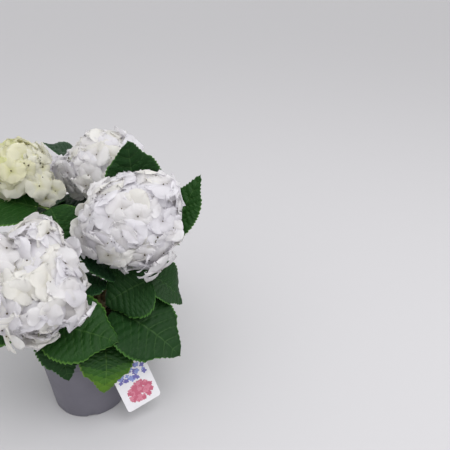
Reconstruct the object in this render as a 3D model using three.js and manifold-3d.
// A mophead hydrangea in its nursery pot: pot, compost, plant label, a woody foot, one cane
// for each shoot, and on each cane a leafy shoot and a flower head.
// Millimetres, +Z up. The origin is the centre of the pot's flat underside.
import * as THREE from "three";
import { mergeVertices } from "three/addons/utils/BufferGeometryUtils.js";
import Module from "manifold-3d";

const wasm = await Module();
wasm.setup();

// Driving sizes
const GAP = 0.3; // air between pieces that touch on the real plant
const POT = {
  baseRadius: 50,
  topRadius: 58,
  height: 113,
  wall: 1.8,
  floor: 2.4,
  rimHeight: 11,
  rimOut: 2.4,
  round: 0.8,
  facets: 28,
};
const NOTCH = { count: 7, width: 10, height: 1.8, depth: 5 }; // drain slots under the pot's edge
const COMPOST = { edge: 98, top: 102, slope: 9 };
const FOOT = {
  at: [8, 14],
  fork: [19, 27],
  height: 26,
  baseRadius: 15,
  topRadius: 10.6,
  sides: 9,
  segments: 3,
};
const CANE = { ring: 7.2, baseRadius: 2.9, tipRadius: 2.5, share: 0.3, lead: 5, sides: 6, segments: 4 };
const SHOOT = { baseRadius: 2.4, tipRadius: 2.1, sides: 5, segments: 6, underHead: 10, headSegments: 2 };
const LEAF = {
  thickness: 1.4,
  edge: 0.6,
  stalkRadius: 1.5,
  stalkSides: 3,
  lengthSteps: 6,
  fold: 14,
  sink: 3,
  peak: 2.43,
  baseRound: 0.5,
  tipRound: 0.84,
  end: 0.03,
};
const HEAD = {
  florets: 0.0066,
  floret: 21.5,
  notch: 0.76,
  rise: 2.5,
  sink: 9,
  spread: 2.2,
  core: 0.86,
  curl: 3.2,
  coreSides: 9,
  coreRings: 6,
  lobeSides: 7,
  lobeRings: 5,
  jitter: 0.06,
  settle: 0.05,
  uneven: 0.1,
  cone: 3.5,
  askew: [0.3, 0.2, 1],
};
const LABEL = { width: 45, length: 74, corner: 4, thickness: 0.9, neck: 12, inset: 7, steps: 10 };
const LABEL_FOOT = [63, -64, 25]; // the card's lowest corner
const LABEL_ACROSS = [38, 21.8, 9.1]; // the way its short side runs
const LABEL_UP = [-15.5, 8, 53]; // the way its long side runs
const MARGIN = 0.6; // the room that a leaf keeps round it
const SPACE_LOW = [-185, -125, 62]; // the corners of the space that leaf tips keep to
const SPACE_HIGH = [124, 255, 320];

const PETAL = 0xf3f1f4;
const PETAL_GREEN = 0xe9ecc4;
const LEAF_GREEN = 0x2f6a35;
const BARK = 0x6b5438;
const POT_GREY = 0x5f5c64;
const COMPOST_BROWN = 0x2f2721;
const CARD_WHITE = 0xf2f1ee;

// Each shoot: its flower head's centre, radius and how flat it is, the lobes that swell from it,
// each with its offset from the centre and its radius, the way it faces, the bend of
// its stem, and the leaves that have a place of their own. Such a leaf leaves the stem at a share
// of its length (0 at the foot, 1 under the head). Its blade runs from base to tip, has half its
// width, a roll about its rib in degrees, and arches by some millimetres.
const SHOOTS = [
  {
    name: "front",
    head: [-13, -70, 218],
    radius: 50,
    squash: 0.86,
    lobes: [
      [[3, 28, 50], 24],
      [[9, 17, 30], 30],
      [[-33, 15, 31], 27],
      [[35, -8, -14], 22],
      [[-8, -15, -26], 20],
    ],
    face: [-0.12, -0.35],
    bend: [0, -14, 152],
    ring: 270,
    turn: 20,
    pairs: [[2, 0]],
    seed: 11,
    droop: [-15, -84, 165],
    leaves: [
      { at: 0.86, base: [-22, -44, 150], tip: [61, -58, 136], half: 42, roll: 24, arch: 8 },
      { at: 0.7, base: [-20, -32, 139], tip: [3, -77, 95], half: 28, roll: 0, arch: 12 },
      { at: 0.55, base: [36, -32, 119], tip: [42, -79, 77], half: 33, roll: -18, arch: 16 },
      { at: 0.66, base: [2, 2, 166], tip: [40, 14, 164], half: 21, roll: 10, arch: 3 },
      { at: 0.82, base: [-38, -36, 152], tip: [-116, -54, 116], half: 38, roll: 0, arch: 10 },
    ],
  },
  {
    name: "right",
    head: [70, 34, 244],
    radius: 58,
    squash: 0.94,
    lobes: [
      [[28, 12, 21], 36],
      [[-30, -8, -14], 36],
      [[24, -11, -19], 29],
    ],
    face: [0.25, -0.5],
    bend: [42, 32, 156],
    ring: 10,
    turn: 10,
    pairs: [],
    seed: 23,
    droop: [98, -3, 197],
    leaves: [
      { at: 0.7, base: [90, 18, 170], tip: [36, -6, 149], half: 42, roll: -35, arch: 6 },
      { at: 0.45, base: [44, -4, 140], tip: [128, -36, 93], half: 49, roll: 10, arch: 10 },
      { at: 0.66, base: [80, 38, 164], tip: [126, 30, 121], half: 37, roll: 0, arch: 8 },
      { at: 0.8, base: [50, 25, 172], tip: [3, 22, 207], half: 31, roll: -8, arch: 4 },
      { at: 0.9, base: [108, 66, 200], tip: [152, 96, 278], half: 24, roll: 30, arch: -3 },
    ],
  },
  {
    name: "back",
    head: [22, 141, 267],
    radius: 55,
    squash: 0.86,
    lobes: [
      [[-53, -3, -6], 24],
      [[-31, -3, -5], 35],
    ],
    face: [0, 0.1],
    bend: [18, 84, 185],
    ring: null,
    turn: 70,
    pairs: [[1, 0], [3, 0], [3, 180]],
    seed: 37,
    leaves: [
      { at: 0.7, base: [-24, 196, 238], tip: [-74, 177, 291], half: 38, roll: 0, arch: 5 },
      { at: 0.95, base: [66, 100, 226], tip: [66, 79, 329], half: 40, roll: 212, arch: -3 },
    ],
  },
  {
    name: "back_left",
    head: [-80, 84, 293],
    radius: 42,
    squash: 0.6,
    lobes: [
      [[33, -10, -19], 20],
      [[15, -3, -7], 28],
    ],
    face: [-0.2, 0],
    bend: [-30, 52, 190],
    ring: 165,
    turn: 20,
    pairs: [[0, 180], [1, 0], [2, 0], [3, 180]],
    seed: 41,
    leaves: [
      { at: 0.95, base: [-50, 62, 248], tip: [-150, 44, 272], half: 56, roll: -14, arch: 4 },
      { at: 0.9, base: [-38, 70, 243], tip: [-10, 50, 186], half: 33, roll: 35, arch: 7 },
      { at: 0.8, base: [-60, 95, 222], tip: [-76, 170, 212], half: 28, roll: 0, arch: 5 },
    ],
  },
  {
    name: "left",
    head: [-131, -14, 224],
    radius: 51,
    squash: 0.85,
    lobes: [
      [[-10, -26, 12], 30],
      [[12, 24, 10], 31],
    ],
    face: [-0.5, -0.2],
    bend: [-50, 10, 158],
    ring: 215,
    turn: 55,
    pairs: [[0, 0], [2, 180], [3, 0], [3, 180]],
    seed: 53,
    leaves: [],
  },
  {
    name: "far_back",
    head: [8, 200, 192],
    radius: 40,
    squash: 0.8,
    lobes: [
      [[22, 8, 8], 24],
      [[-20, 12, 2], 26],
    ],
    face: [0, 0.5],
    bend: [6, 100, 155],
    ring: 115,
    turn: 40,
    pairs: [[0, 0], [0, 180], [1, 0], [2, 180], [3, 180]],
    seed: 67,
    leaves: [],
  },
  {
    name: "far_right",
    head: [82, 152, 178],
    radius: 41,
    squash: 0.8,
    lobes: [
      [[10, 22, 10], 26],
      [[16, -18, -4], 25],
    ],
    face: [0.5, 0.4],
    bend: [56, 76, 145],
    ring: 62,
    turn: 80,
    pairs: [[0, 0], [1, 0], [2, 180], [3, 180]],
    seed: 79,
    leaves: [],
  },
];

// The plant's own rule: leaves stand in pairs, and each pair a quarter turn from the last.
const PAIRS = [
  { at: 0.42, lift: -20, length: 128, half: 40, stalk: 26 },
  { at: 0.6, lift: -6, length: 132, half: 42, stalk: 24 },
  { at: 0.78, lift: 8, length: 122, half: 39, stalk: 20 },
  { at: 0.92, lift: 16, length: 98, half: 31, stalk: 16 },
];
const PAIR_ARCH = 9;
// Where a leaf has no room it is tried again, turned and lifted by these degrees in turn.
const TRIES = [
  [0, 0],
  [20, 0],
  [-20, 0],
  [0, 16],
  [0, -16],
  [40, -8],
  [-40, -8],
  [36, 18],
  [-36, 18],
  [0, -32],
  [60, 0],
  [-60, 0],
  [30, -28],
  [-30, -28],
];

const up = new THREE.Vector3(0, 0, 1);
const vector = (list) => new THREE.Vector3(...list);
const radians = THREE.MathUtils.degToRad;

// Seeded numbers from 0 to 1: the same seed always gives the same plant.
function seeded(seed) {
  let state = seed;
  return () => {
    state = (state * 16807) % 2147483647;
    return state / 2147483647;
  };
}

// A three.js geometry with one vertex for each corner, so that it closes when it is bent.
function closed(geometry) {
  geometry.deleteAttribute("normal");
  geometry.deleteAttribute("uv");
  return mergeVertices(geometry, 1e-4);
}

// A closed geometry becomes a solid that can be joined and cut.
function solid(geometry) {
  const index = geometry.index.array;
  const kept = [];
  for (let i = 0; i < index.length; i += 3) {
    const [a, b, c] = [index[i], index[i + 1], index[i + 2]];
    if (a !== b && b !== c && c !== a) kept.push(a, b, c);
  }
  const mesh = new wasm.Mesh({
    numProp: 3,
    vertProperties: new Float32Array(geometry.attributes.position.array),
    triVerts: new Uint32Array(kept),
  });
  return new wasm.Manifold(mesh);
}

// The main piece of a join: a scrap, or the wall of a hollow that the join sealed, is left out.
function mainPiece(joined) {
  const pieces = joined.decompose();
  pieces.sort((a, b) => b.volume() - a.volume());
  return pieces[0];
}

const join = (pieces) => mainPiece(pieces.reduce((sum, piece) => sum.add(piece)));

// A stretch of a longer curve, from one share of its length to another.
class Stretch extends THREE.Curve {
  constructor(curve, from, to) {
    super();
    Object.assign(this, { curve, from, to });
  }
  getPoint(along) {
    return this.curve.getPointAt(this.from + (this.to - this.from) * along);
  }
}

// A limb: a closed cylinder whose rings are moved onto a curve and narrowed toward its tip.
function limb(curve, baseRadius, tipRadius, sides, segments) {
  const geometry = closed(new THREE.CylinderGeometry(1, 1, 1, sides, segments));
  const place = geometry.attributes.position;
  for (let i = 0; i < place.count; i++) {
    const along = place.getY(i) + 0.5;
    const tangent = curve.getTangentAt(along);
    const side = new THREE.Vector3(0, 1, 0).cross(tangent).normalize();
    const other = tangent.clone().cross(side);
    const radius = baseRadius + (tipRadius - baseRadius) * along;
    const point = curve
      .getPointAt(along)
      .addScaledVector(side, radius * place.getX(i))
      .addScaledVector(other, -radius * place.getZ(i));
    place.setXYZ(i, point.x, point.y, point.z);
  }
  return solid(geometry);
}

// The pot's outer radius at a height, without its rim.
const potRadius = (height) => POT.baseRadius + ((POT.topRadius - POT.baseRadius) * height) / POT.height;

function turned(profile, facets) {
  const points = profile.map(([radius, height]) => new THREE.Vector2(radius, height));
  return solid(closed(new THREE.LatheGeometry(points, facets)).rotateX(Math.PI / 2));
}

function makePot() {
  const underRim = POT.height - POT.rimHeight;
  const lip = POT.topRadius + POT.rimOut;
  let pot = turned(
    [
      [0, 0],
      [POT.baseRadius - POT.round, 0],
      [POT.baseRadius, POT.round],
      [potRadius(underRim), underRim],
      [lip - POT.round, underRim + POT.round],
      [lip, POT.height - POT.round],
      [lip - POT.round, POT.height],
      [POT.topRadius - POT.wall, POT.height],
      [potRadius(POT.floor) - POT.wall, POT.floor],
      [0, POT.floor],
    ],
    POT.facets,
  );
  for (let i = 0; i < NOTCH.count; i++) {
    const cut = new THREE.BoxGeometry(NOTCH.depth, NOTCH.width, 2 * NOTCH.height);
    cut.translate(POT.baseRadius, 0, 0);
    cut.rotateZ(((i + 0.5) * 2 * Math.PI) / NOTCH.count);
    pot = pot.subtract(solid(closed(cut)));
  }
  return pot;
}

function makeCompost() {
  const inside = (height) => potRadius(height) - POT.wall - GAP;
  const low = POT.floor + GAP;
  return turned(
    [
      [0, low],
      [inside(low), low],
      [inside(COMPOST.edge), COMPOST.edge],
      [inside(COMPOST.edge) - COMPOST.slope, COMPOST.top],
      [0, COMPOST.top],
    ],
    POT.facets,
  );
}

// The woody foot: old wood with a flat cut at the compost, leaning to where the canes fork.
function makeFoot() {
  const geometry = closed(new THREE.CylinderGeometry(1, 1, 1, FOOT.sides, FOOT.segments));
  geometry.rotateX(Math.PI / 2);
  const place = geometry.attributes.position;
  for (let i = 0; i < place.count; i++) {
    const along = place.getZ(i) + 0.5;
    const flare = Math.pow(1 - along, 2);
    const radius = FOOT.topRadius + (FOOT.baseRadius - FOOT.topRadius) * flare;
    const x = FOOT.at[0] + (FOOT.fork[0] - FOOT.at[0]) * along + radius * place.getX(i);
    const y = FOOT.at[1] + (FOOT.fork[1] - FOOT.at[1]) * along + radius * place.getY(i);
    place.setXYZ(i, x, y, COMPOST.top + GAP + FOOT.height * along);
  }
  return solid(geometry);
}

// The plant label: a card outside the pot, on a narrow tongue that hooks over the rim.
function makeLabel(extra = 0) {
  const across = vector(LABEL_ACROSS).normalize();
  const face = across.clone().cross(vector(LABEL_UP)).normalize();
  const along = face.clone().cross(across);
  const foot = vector(LABEL_FOOT);
  foot.addScaledVector(across, -extra).addScaledVector(along, -extra).addScaledVector(face, -extra);
  const shape = new THREE.Shape();
  const { corner } = LABEL;
  const width = LABEL.width + 2 * extra;
  const length = LABEL.length + 2 * extra;
  const thickness = LABEL.thickness + 2 * extra;
  shape.moveTo(corner, 0).lineTo(width - corner, 0).quadraticCurveTo(width, 0, width, corner);
  shape.lineTo(width, length - corner).quadraticCurveTo(width, length, width - corner, length);
  shape.lineTo(corner, length).quadraticCurveTo(0, length, 0, length - corner);
  shape.lineTo(0, corner).quadraticCurveTo(0, 0, corner, 0);
  const flat = { depth: thickness, bevelEnabled: false, curveSegments: 2 };
  const card = closed(new THREE.ExtrudeGeometry(shape, flat));
  card.applyMatrix4(new THREE.Matrix4().makeBasis(across, along, face).setPosition(foot));
  const top = foot.clone().addScaledVector(across, width / 2).addScaledVector(along, length - corner);
  const rim = new THREE.Vector3(top.x, top.y, 0).setLength(POT.topRadius - POT.wall / 2);
  const inside = rim.clone().setLength(rim.length() - LABEL.inset);
  const route = new THREE.CatmullRomCurve3([
    inside.clone().setZ(COMPOST.top + 2 * GAP),
    inside.clone().setZ(POT.height - 1),
    rim.clone().setZ(POT.height + 3),
    top.clone().setZ(POT.height - 1),
    top,
  ]);
  const tongue = closed(new THREE.BoxGeometry(1, 1, 1, 1, LABEL.steps, 1));
  const place = tongue.attributes.position;
  for (let i = 0; i < place.count; i++) {
    const share = place.getY(i) + 0.5;
    const normal = across.clone().cross(route.getTangentAt(share)).normalize();
    const point = route
      .getPointAt(share)
      .addScaledVector(across, place.getX(i) * (LABEL.neck + 2 * extra))
      .addScaledVector(normal, place.getZ(i) * thickness);
    place.setXYZ(i, point.x, point.y, point.z);
  }
  return join([solid(card), solid(tongue)]);
}

const headAxis = (shoot) => new THREE.Vector3(...shoot.face, 1).normalize();

// The path of one shoot from the foot to the middle of its flower head, with the shares of its
// length where the cane ends and where the leafy stem ends.
function growPath(shoot) {
  const out = shoot.ring === null ? 0 : CANE.ring;
  const x = FOOT.fork[0] + out * Math.cos(radians(shoot.ring));
  const y = FOOT.fork[1] + out * Math.sin(radians(shoot.ring));
  const z = COMPOST.top + FOOT.height;
  const head = vector(shoot.head);
  const neck = head.clone().addScaledVector(headAxis(shoot), -shoot.radius * shoot.squash);
  const points = [new THREE.Vector3(x, y, z - CANE.lead), new THREE.Vector3(x, y, z + CANE.lead)];
  const curve = new THREE.CatmullRomCurve3([...points, vector(shoot.bend), neck, head], false, "centripetal");
  const length = curve.getLength();
  const stemEnd = 1 - (shoot.radius * shoot.squash * HEAD.core + SHOOT.underHead) / length;
  return { curve, gap: GAP / length, stemEnd, caneEnd: CANE.share * stemEnd };
}

// A cane: this year's wood, cut flat over the foot that it stands on.
function makeCane({ curve, caneEnd }, extra = 0) {
  const stretch = new Stretch(curve, 0, caneEnd);
  const cane = limb(stretch, CANE.baseRadius + extra, CANE.tipRadius + extra, CANE.sides, CANE.segments);
  const below = COMPOST.top + GAP + FOOT.height + GAP;
  const box = new THREE.BoxGeometry(2 * POT.topRadius, 2 * POT.topRadius, below).translate(0, 0, below / 2);
  return mainPiece(cane.subtract(solid(closed(box))));
}

// One floret: a shallow four-lobed cup, turned to face outward and sunk into the head's core.
function floret(centre, outward, spin, size, extra) {
  const geometry = closed(new THREE.SphereGeometry(1, 8, 2));
  const place = geometry.attributes.position;
  const side = vector(HEAD.askew).cross(outward).normalize().applyAxisAngle(outward, spin);
  const other = outward.clone().cross(side);
  for (let i = 0; i < place.count; i++) {
    const height = place.getY(i);
    const angle = Math.atan2(place.getZ(i), place.getX(i));
    const lobe = Math.round((angle / Math.PI) * 4) % 2 === 0 ? 1 : HEAD.notch;
    const radius = Math.abs(height) > 0.5 ? 0 : size * lobe + HEAD.cone * extra;
    const lift = height > 0.5 ? HEAD.rise + extra : height < -0.5 ? -HEAD.sink - extra : -HEAD.curl;
    const point = centre
      .clone()
      .addScaledVector(side, radius * Math.cos(angle))
      .addScaledVector(other, -radius * Math.sin(angle))
      .addScaledVector(outward, lift);
    place.setXYZ(i, point.x, point.y, point.z);
  }
  return solid(geometry);
}

// How far a head's skin lies from its middle in one direction, and the way it faces there: that of
// the body, or of the lobe that stands proudest.
function skinOf(shoot, outward) {
  const direction = outward.clone().normalize();
  let skin = { far: shoot.radius * outward.length(), facing: direction };
  for (const [offset, radius] of shoot.lobes) {
    const middle = vector(offset);
    const along = middle.dot(direction);
    const inside = along ** 2 - middle.lengthSq() + radius ** 2;
    const far = along + Math.sqrt(Math.max(inside, 0));
    if (inside <= 0 || far <= skin.far) continue;
    skin = { far, facing: direction.clone().multiplyScalar(far).sub(middle).normalize() };
  }
  return skin;
}

// A flower head: a stalk, a core of small stalks and buds, and florets all over it.
function makeHead(shoot, { curve, gap, stemEnd }, extra = 0) {
  const random = seeded(shoot.seed);
  const axis = headAxis(shoot);
  const centre = vector(shoot.head);
  const side = new THREE.Vector3(0, 1, 0).cross(axis).normalize();
  const other = axis.clone().cross(side);
  const thick = SHOOT.tipRadius + extra;
  const stalk = limb(new Stretch(curve, stemEnd + gap, 1), thick, thick, SHOOT.sides, SHOOT.headSegments);
  const coreRadius = shoot.radius * HEAD.core + extra;
  const core = closed(new THREE.SphereGeometry(coreRadius, HEAD.coreSides, HEAD.coreRings));
  core.scale(1, shoot.squash, 1);
  core.applyMatrix4(new THREE.Matrix4().makeBasis(side, axis, side.clone().cross(axis)).setPosition(centre));
  const pieces = [solid(core), stalk];
  for (const [offset, radius] of shoot.lobes) {
    const lobe = new THREE.SphereGeometry(radius * HEAD.core + extra, HEAD.lobeSides, HEAD.lobeRings);
    lobe.translate(...centre.clone().add(vector(offset)).toArray());
    pieces.push(solid(closed(lobe)));
  }
  const golden = Math.PI * (3 - Math.sqrt(5));
  const widest = Math.max(...shoot.lobes.map(([offset, radius]) => vector(offset).length() + radius));
  const count = Math.round(HEAD.florets * widest ** 2);
  let share = 0.5; // of a floret that is due: more of them where the skin is farther out
  for (let i = 0; i < count; i++) {
    const drop = 1 - ((i + 0.5) / count) * (1 - Math.cos(HEAD.spread));
    const polar = Math.acos(drop) + (random() - 0.5) * 2 * HEAD.jitter;
    const round = i * golden;
    const outward = side
      .clone()
      .multiplyScalar(Math.sin(polar) * Math.cos(round))
      .addScaledVector(other, Math.sin(polar) * Math.sin(round))
      .addScaledVector(axis, Math.cos(polar) * shoot.squash);
    const { far, facing } = skinOf(shoot, outward);
    const reach = far * (1 - HEAD.settle + HEAD.settle * random());
    const spin = random() * Math.PI;
    const size = HEAD.floret * (1 - HEAD.uneven + 2 * HEAD.uneven * random());
    share += (far / (widest * outward.length())) ** 2;
    if (share < 1) continue;
    share -= 1;
    const place = centre.clone().addScaledVector(outward.normalize(), reach - HEAD.rise);
    pieces.push(floret(place, facing, spin, size, extra));
  }
  if (shoot.droop) {
    const hanging = vector(shoot.droop);
    const outward = hanging.clone().sub(centre).normalize();
    pieces.push(floret(hanging, outward, 0, HEAD.floret, extra));
  }
  return join(pieces);
}

// Half the width of a blade, as a share of its widest, from 0 at the stalk to 1 at the tip.
function bladeShare(along) {
  const round = Math.pow(along, LEAF.baseRound) * Math.pow(1 - along, LEAF.tipRound);
  return LEAF.peak * round + LEAF.end;
}

// A blade: a thin box bent over its rib, folded a little along it, with its outline cut by width.
function blade(row, extra) {
  const axis = row.tip.clone().sub(row.base);
  const length = axis.length() + extra;
  axis.normalize();
  const side = up.clone().cross(axis).normalize().applyAxisAngle(axis, radians(row.roll));
  const normal = axis.clone().cross(side);
  const geometry = closed(new THREE.BoxGeometry(1, 1, 1, LEAF.lengthSteps, 2, 1));
  const place = geometry.attributes.position;
  const fold = Math.tan(radians(LEAF.fold));
  for (let i = 0; i < place.count; i++) {
    const along = place.getX(i) + 0.5;
    const across = place.getY(i) * 2;
    const width = row.half * bladeShare(along);
    const thick = (across === 0 ? LEAF.thickness : LEAF.edge) + extra;
    const rise = 4 * row.arch * along * (1 - along) + width * Math.abs(across) * fold * (1 - along);
    const point = row.base
      .clone()
      .addScaledVector(axis, length * along)
      .addScaledVector(side, (width + extra / 2) * across)
      .addScaledVector(normal, rise + place.getZ(i) * thick);
    place.setXYZ(i, point.x, point.y, point.z);
  }
  return solid(geometry);
}

// A leaf on its stalk. The room it needs is the same leaf made thicker all round.
function makeLeaf(root, row, extra = 0) {
  const heading = row.tip.clone().sub(row.base).normalize();
  const sunk = row.base.clone().addScaledVector(heading, LEAF.sink);
  const radius = LEAF.stalkRadius + extra / 2;
  const stalk = limb(new THREE.LineCurve3(root, sunk), radius, radius, LEAF.stalkSides, 1);
  return { stalk, blade: blade(row, extra) };
}

// A point swung about a root, by degrees of turn and of lift.
function swung(root, point, turn, lift) {
  const arm = point.clone().sub(root);
  const azimuth = Math.atan2(arm.y, arm.x) + radians(turn);
  const height = Math.atan2(arm.z, Math.hypot(arm.x, arm.y)) + radians(lift);
  const flat = arm.length() * Math.cos(height);
  arm.set(flat * Math.cos(azimuth), flat * Math.sin(azimuth), arm.length() * Math.sin(height));
  return arm.add(root);
}

// The rows of a shoot's leaves that follow the rule.
function ruledRows(shoot, path) {
  return shoot.pairs.map(([place, side]) => {
    const pair = PAIRS[place];
    const root = path.curve.getPointAt(pair.at * path.stemEnd);
    const level = root.clone().setX(root.x + pair.length);
    const tip = swung(root, level, shoot.turn + 90 * place + side, pair.lift);
    const base = root.clone().lerp(tip, pair.stalk / pair.length);
    return { ...pair, roll: 0, arch: PAIR_ARCH, base, tip };
  });
}

const space = new THREE.Box3(vector(SPACE_LOW), vector(SPACE_HIGH));
const boxesMeet = (a, b) => [0, 1, 2].every((i) => a.min[i] <= b.max[i] && b.min[i] <= a.max[i]);

function meets(piece, other) {
  return boxesMeet(piece.boundingBox(), other.boundingBox()) && !piece.intersect(other).isEmpty();
}

const group = new THREE.Group();

function addNode(name, piece, color, roughness) {
  const mesh = piece.getMesh();
  const positions = new Float32Array(mesh.numVert * 3);
  for (let i = 0; i < mesh.numVert; i++) {
    const from = i * mesh.numProp;
    positions.set(mesh.vertProperties.subarray(from, from + 3), i * 3);
  }
  const geometry = new THREE.BufferGeometry();
  geometry.setAttribute("position", new THREE.BufferAttribute(positions, 3));
  geometry.setIndex(new THREE.BufferAttribute(mesh.triVerts, 1));
  const node = new THREE.Mesh(geometry, new THREE.MeshStandardMaterial({ color, roughness, metalness: 0 }));
  node.name = name;
  group.add(node);
}

function makeStem({ curve, gap, caneEnd, stemEnd }, extra = 0) {
  const stretch = new Stretch(curve, caneEnd + gap, stemEnd);
  return limb(stretch, SHOOT.baseRadius + extra, SHOOT.tipRadius + extra, SHOOT.sides, SHOOT.segments);
}

const pot = makePot();
const compost = makeCompost();
const label = makeLabel();
const foot = makeFoot();
const paths = SHOOTS.map(growPath);
const canes = paths.map((path) => makeCane(path));
const heads = SHOOTS.map((shoot, index) => makeHead(shoot, paths[index]));
const stems = paths.map((path) => makeStem(path));
const leaves = SHOOTS.map(() => []);

// What stands round a shoot, each piece with the room that it needs: the room is for cutting a
// leaf clear of it.
const labelRoom = makeLabel(MARGIN);
const canesRoom = paths.map((path) => makeCane(path, MARGIN));
const stemsRoom = paths.map((path) => makeStem(path, MARGIN));
const headsRoom = SHOOTS.map((shoot, index) => makeHead(shoot, paths[index], MARGIN));

function roomsAround(index) {
  const others = leaves.filter((_, place) => place !== index).flat();
  const otherStems = stemsRoom.filter((_, place) => place !== index);
  const leafRooms = others.flatMap(({ room }) => [room.stalk, room.blade]);
  return [pot, compost, labelRoom, foot, ...canesRoom, ...headsRoom, ...otherStems, ...leafRooms];
}

const cutClear = (piece, rooms) =>
  rooms.filter((room) => meets(piece, room)).reduce((left, room) => left.subtract(room), piece);

// The leaves with a place of their own come first, and are cut clear of what they meet.
SHOOTS.forEach((shoot, index) => {
  const { curve, stemEnd } = paths[index];
  for (const place of shoot.leaves) {
    const root = curve.getPointAt(place.at * stemEnd);
    const row = { ...place, base: vector(place.base), tip: vector(place.tip) };
    const rooms = roomsAround(index);
    const { stalk, blade } = makeLeaf(root, row);
    leaves[index].push({
      stalk: cutClear(stalk, rooms),
      blade: cutClear(blade, rooms),
      room: makeLeaf(root, row, 2 * MARGIN),
    });
  }
});

// The others follow the rule: the first way to hold a leaf that has room for it, or no leaf.
SHOOTS.forEach((shoot, index) => {
  const { curve, stemEnd } = paths[index];
  for (const row of ruledRows(shoot, paths[index])) {
    const root = curve.getPointAt(row.at * stemEnd);
    const rooms = roomsAround(index);
    const ownBlades = leaves[index].map(({ room }) => room.blade);
    for (const [turn, lift] of TRIES) {
      const base = swung(root, row.base, turn, lift);
      const tip = swung(root, row.tip, turn, lift);
      if (!space.containsPoint(tip)) continue;
      const leaf = makeLeaf(root, { ...row, base, tip });
      if (rooms.some((room) => meets(leaf.blade, room) || meets(leaf.stalk, room))) continue;
      if (ownBlades.some((room) => meets(leaf.blade, room))) continue;
      leaves[index].push({ ...leaf, room: makeLeaf(root, { ...row, base, tip }, 2 * MARGIN) });
      break;
    }
  }
});

addNode("pot", pot, POT_GREY, 0.55);
addNode("compost", compost, COMPOST_BROWN, 0.95);
addNode("plant_label", label, CARD_WHITE, 0.4);
addNode("woody_foot", foot, BARK, 0.9);
SHOOTS.forEach(({ name }, index) => {
  const parts = leaves[index].flatMap(({ stalk, blade }) => [stalk, blade]);
  addNode(`cane_${name}`, canes[index], BARK, 0.85);
  addNode(`leaves_${name}`, join([stems[index], ...parts]), LEAF_GREEN, 0.5);
  addNode(`flower_${name}`, heads[index], name === "back_left" ? PETAL_GREEN : PETAL, 0.6);
});

export default group;
